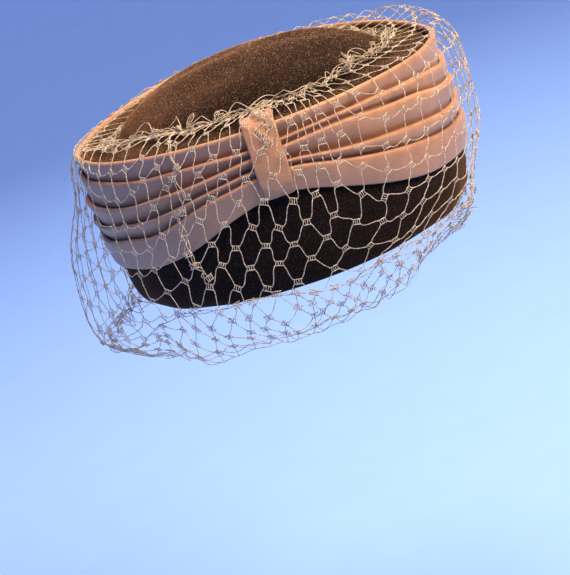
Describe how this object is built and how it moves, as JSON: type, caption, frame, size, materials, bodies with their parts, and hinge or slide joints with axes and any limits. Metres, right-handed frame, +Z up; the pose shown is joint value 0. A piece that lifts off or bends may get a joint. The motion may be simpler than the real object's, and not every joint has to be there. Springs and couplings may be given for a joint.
{
  "type": "veiled felt hat",
  "caption": "Small brimless felt hat with a low domed tip, a band of folded satin pleats drawn in by a front tab, and a gathered net veil that hangs below the rim.",
  "frame": {"origin": "centre of the head opening, in the plane of the rim", "axes": "+Z up through the tip, -Y out of the front of the hat, +X towards the wearer's left"},
  "size_m": [0.2356, 0.2343, 0.1279],
  "materials": {
    "velour_felt": "brushed brown velour felt",
    "rose_satin": "rose-brown satin, folded",
    "tan_net": "tan knotted net"
  },
  "bodies": {
    "root": {"felt_hood": "velour_felt", "pleated_band": "rose_satin", "band_tab": "rose_satin", "net_veil": "tan_net", "net_hem": "tan_net"}
  },
  "joints": []
}
